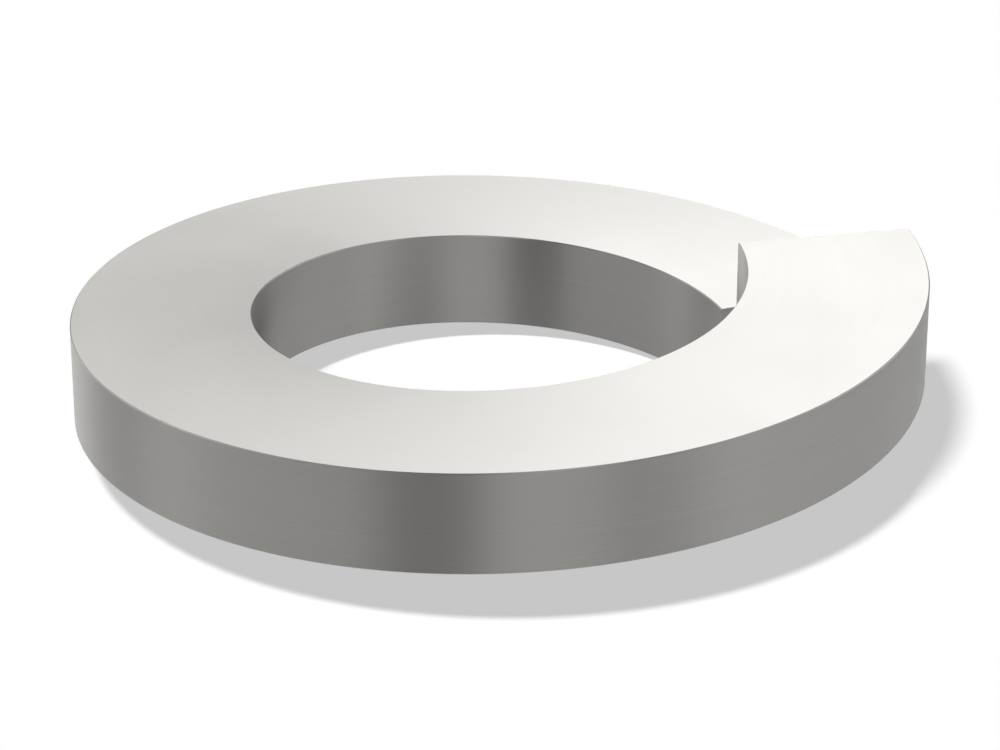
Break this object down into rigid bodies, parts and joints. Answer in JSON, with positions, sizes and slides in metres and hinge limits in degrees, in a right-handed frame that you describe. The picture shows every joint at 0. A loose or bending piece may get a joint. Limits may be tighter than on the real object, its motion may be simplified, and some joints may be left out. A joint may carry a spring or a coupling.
{
  "type": "split lock washer",
  "caption": "Split spring lock washer: a flat rectangular wire coiled into an open ring with offset square-cut ends, placed under a nut or a bolt head.",
  "frame": {"origin": "on the bore axis, level with the lowest plane of the washer, which is the bottom of its lower end", "axes": "+Z along the bore axis towards the nut or bolt head, +X through the middle of the split; seen from above, the coil rises counter-clockwise from its lower end, just past +X, to its raised end, just before +X"},
  "size_m": [0.021, 0.021, 0.0047],
  "materials": {
    "bright_steel": "plain bright spring steel, satin rolled faces and drawn walls, no coating"
  },
  "bodies": {
    "root": {"lock_washer": "bright_steel"}
  },
  "joints": []
}
